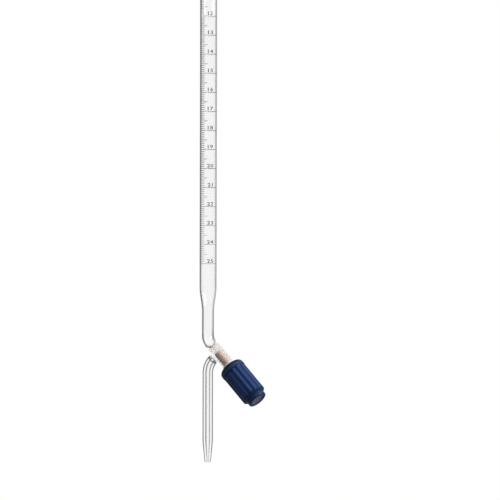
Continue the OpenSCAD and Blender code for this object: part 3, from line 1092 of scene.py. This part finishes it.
VIEW_AZIMUTH = math.radians(32)
VIEW_RIGHT = Vector((math.cos(VIEW_AZIMUTH), math.sin(VIEW_AZIMUTH), 0))
VIEW_BACK = Vector((math.sin(VIEW_AZIMUTH), -math.cos(VIEW_AZIMUTH), 0))
VIEW_HEIGHT = 348.4 * MM
VIEW_DISTANCE = 2.5
SENSOR_WIDTH = 36
VIEW_TARGET = VIEW_RIGHT * 29.2 * MM + Vector((0, 0, TIP_Z + 147.7 * MM))
FLOOR_Z = TIP_Z - 120 * MM
VIEW_ROLL = math.radians(0.12)
# What glass and gloss mirror from the two sides, and the soft light that the two sides cast
MIRROR_LEFT = (0.2, 0.195, 0.19)
MIRROR_RIGHT = (0.5, 0.5, 0.51)
CAST_LEFT = (0.02, 0.018, 0.016)
CAST_RIGHT = (0.75, 0.73, 0.72)


def camera():
    """A level camera with a long lens, turned by a trace of roll."""
    data = bpy.data.cameras.new("camera")
    data.sensor_width = SENSOR_WIDTH
    data.lens = SENSOR_WIDTH * VIEW_DISTANCE / VIEW_HEIGHT
    item = bpy.data.objects.new("camera", data)
    bpy.context.scene.collection.objects.link(item)
    item.location = VIEW_TARGET + VIEW_BACK * VIEW_DISTANCE
    item.rotation_mode = "QUATERNION"
    level = (-VIEW_BACK).to_track_quat("-Z", "Y")
    item.rotation_quaternion = level @ Quaternion((0, 0, 1), VIEW_ROLL)
    bpy.context.scene.camera = item


def softbox(name, place, width, height, power):
    """An area light at an offset from the middle of the view, pointing at it."""
    data = bpy.data.lights.new(name, "AREA")
    data.shape = "RECTANGLE"
    data.size = width
    data.size_y = height
    data.energy = power
    item = bpy.data.objects.new(name, data)
    bpy.context.scene.collection.objects.link(item)
    item.location = VIEW_TARGET + place
    item.rotation_mode = "QUATERNION"
    item.rotation_quaternion = (-place).to_track_quat("-Z", "Y")
    item.visible_camera = False


def seen(nodes, links, path):
    """1 for a ray from the camera or straight through glass, 0 once it has bounced off a surface."""
    bounces = maths(nodes, links, "ADD", path.outputs["Diffuse Depth"], path.outputs["Glossy Depth"])
    none = nodes.new("ShaderNodeMath")
    none.operation = "LESS_THAN"
    none.inputs[1].default_value = 0.5
    links.new(bounces, none.inputs[0])
    return none.outputs[0]


def studio(nodes, links, level):
    """White where it is seen. For gloss and for soft light, a studio that brightens with level."""
    path = nodes.new("ShaderNodeLightPath")
    mirrored = ramp(nodes, links, level, (MIRROR_LEFT, MIRROR_RIGHT), (0.15, 0.9))
    cast = ramp(nodes, links, level, (CAST_LEFT, CAST_RIGHT), (0.25, 0.9))
    shade = mixed(nodes, links, "MIX", path.outputs["Is Diffuse Ray"], mirrored, cast)
    return mixed(nodes, links, "MIX", seen(nodes, links, path), shade, (1, 1, 1, 1))


def world():
    """A white background that lights the object as a studio does, dim on the left, brighter on the right."""
    background = bpy.data.worlds.new("studio")
    bpy.context.scene.world = background
    background.use_nodes = True
    nodes = background.node_tree.nodes
    links = background.node_tree.links
    direction = nodes.new("ShaderNodeTexCoord").outputs["Generated"]
    level = rising(nodes, links, direction, (VIEW_RIGHT + Vector((0, 0, 0.6))).normalized(), -1, 1)
    links.new(studio(nodes, links, level), nodes["Background"].inputs["Color"])


def floor():
    """A wide plain floor, as white as the background, and as dim on the left for the light it returns."""
    bm = bmesh.new()
    bmesh.ops.create_grid(bm, x_segments=8, y_segments=8, size=6)
    bmesh.ops.translate(bm, vec=(0, 0, FLOOR_Z), verts=bm.verts)
    mesh = bpy.data.meshes.new("floor")
    bm.to_mesh(mesh)
    bm.free()
    material, nodes, links, shader = new_material("floor")
    place = nodes.new("ShaderNodeTexCoord").outputs["Object"]
    level = rising(nodes, links, place, VIEW_RIGHT, -1.5, 1.5)
    glow = nodes.new("ShaderNodeEmission")
    links.new(studio(nodes, links, level), glow.inputs["Color"])
    links.new(glow.outputs["Emission"], nodes["Material Output"].inputs["Surface"])
    nodes.remove(shader)
    mesh.materials.append(material)
    item = bpy.data.objects.new("floor", mesh)
    bpy.context.scene.collection.objects.link(item)


# ---------------------------------------------------------------- putting it together

glass_body(glass_material())
jet(capillary_material())
enamel = enamel_material()
scale_lines(enamel)
scale_numbers(enamel)
plunger(ptfe_material())
rubber = rubber_material()
seal_ring("front_ring", "seal_ring_front", rubber)
seal_ring("rear_ring", "seal_ring_rear", rubber)
washer("slip_washer", "thrust_washer", STEM_R, washer_material())
steel = steel_material()
washer("stem_washer", "retaining_washer", STEM_BORE_R, steel)
screw(steel)
knob(knob_material())
end_disc(disc_material())

camera()
softbox("key", VIEW_RIGHT * 1.5 + VIEW_BACK * 0.5 + Vector((0, 0, 0.9)), 0.9, 1.4, 32)
softbox("top", Vector((0, 0, 2.2)), 2.4, 2.4, 3)
world()
floor()
bpy.context.scene.view_settings.view_transform = "Standard"
